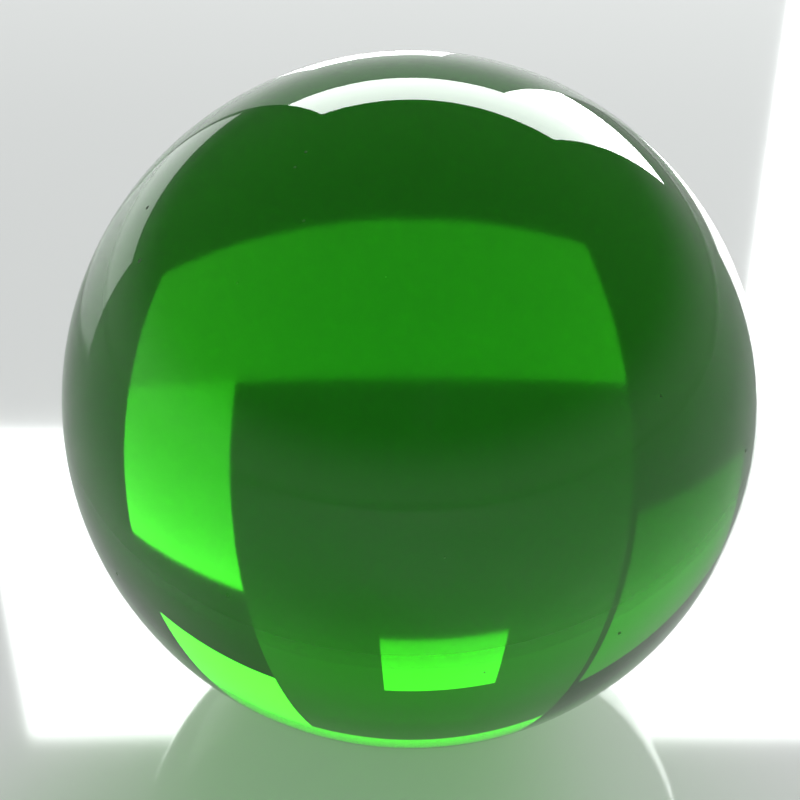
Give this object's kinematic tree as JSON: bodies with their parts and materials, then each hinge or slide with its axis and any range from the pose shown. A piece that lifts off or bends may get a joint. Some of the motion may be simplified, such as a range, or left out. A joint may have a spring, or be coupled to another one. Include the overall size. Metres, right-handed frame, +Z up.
{
  "type": "glass sphere",
  "caption": "Solid round ball of clear green glass, polished all over, with no flat, hole or seam, for display on a ring or cup stand.",
  "frame": {"origin": "centre of the ball", "axes": "+Z up as the ball lies; the ball is the same all round, so X and Y are free"},
  "size_m": [0.1, 0.1, 0.1],
  "materials": {
    "green_glass": "clear solid glass, polished to a mirror gloss all over"
  },
  "bodies": {
    "root": {"glass_ball": "green_glass"}
  },
  "joints": []
}
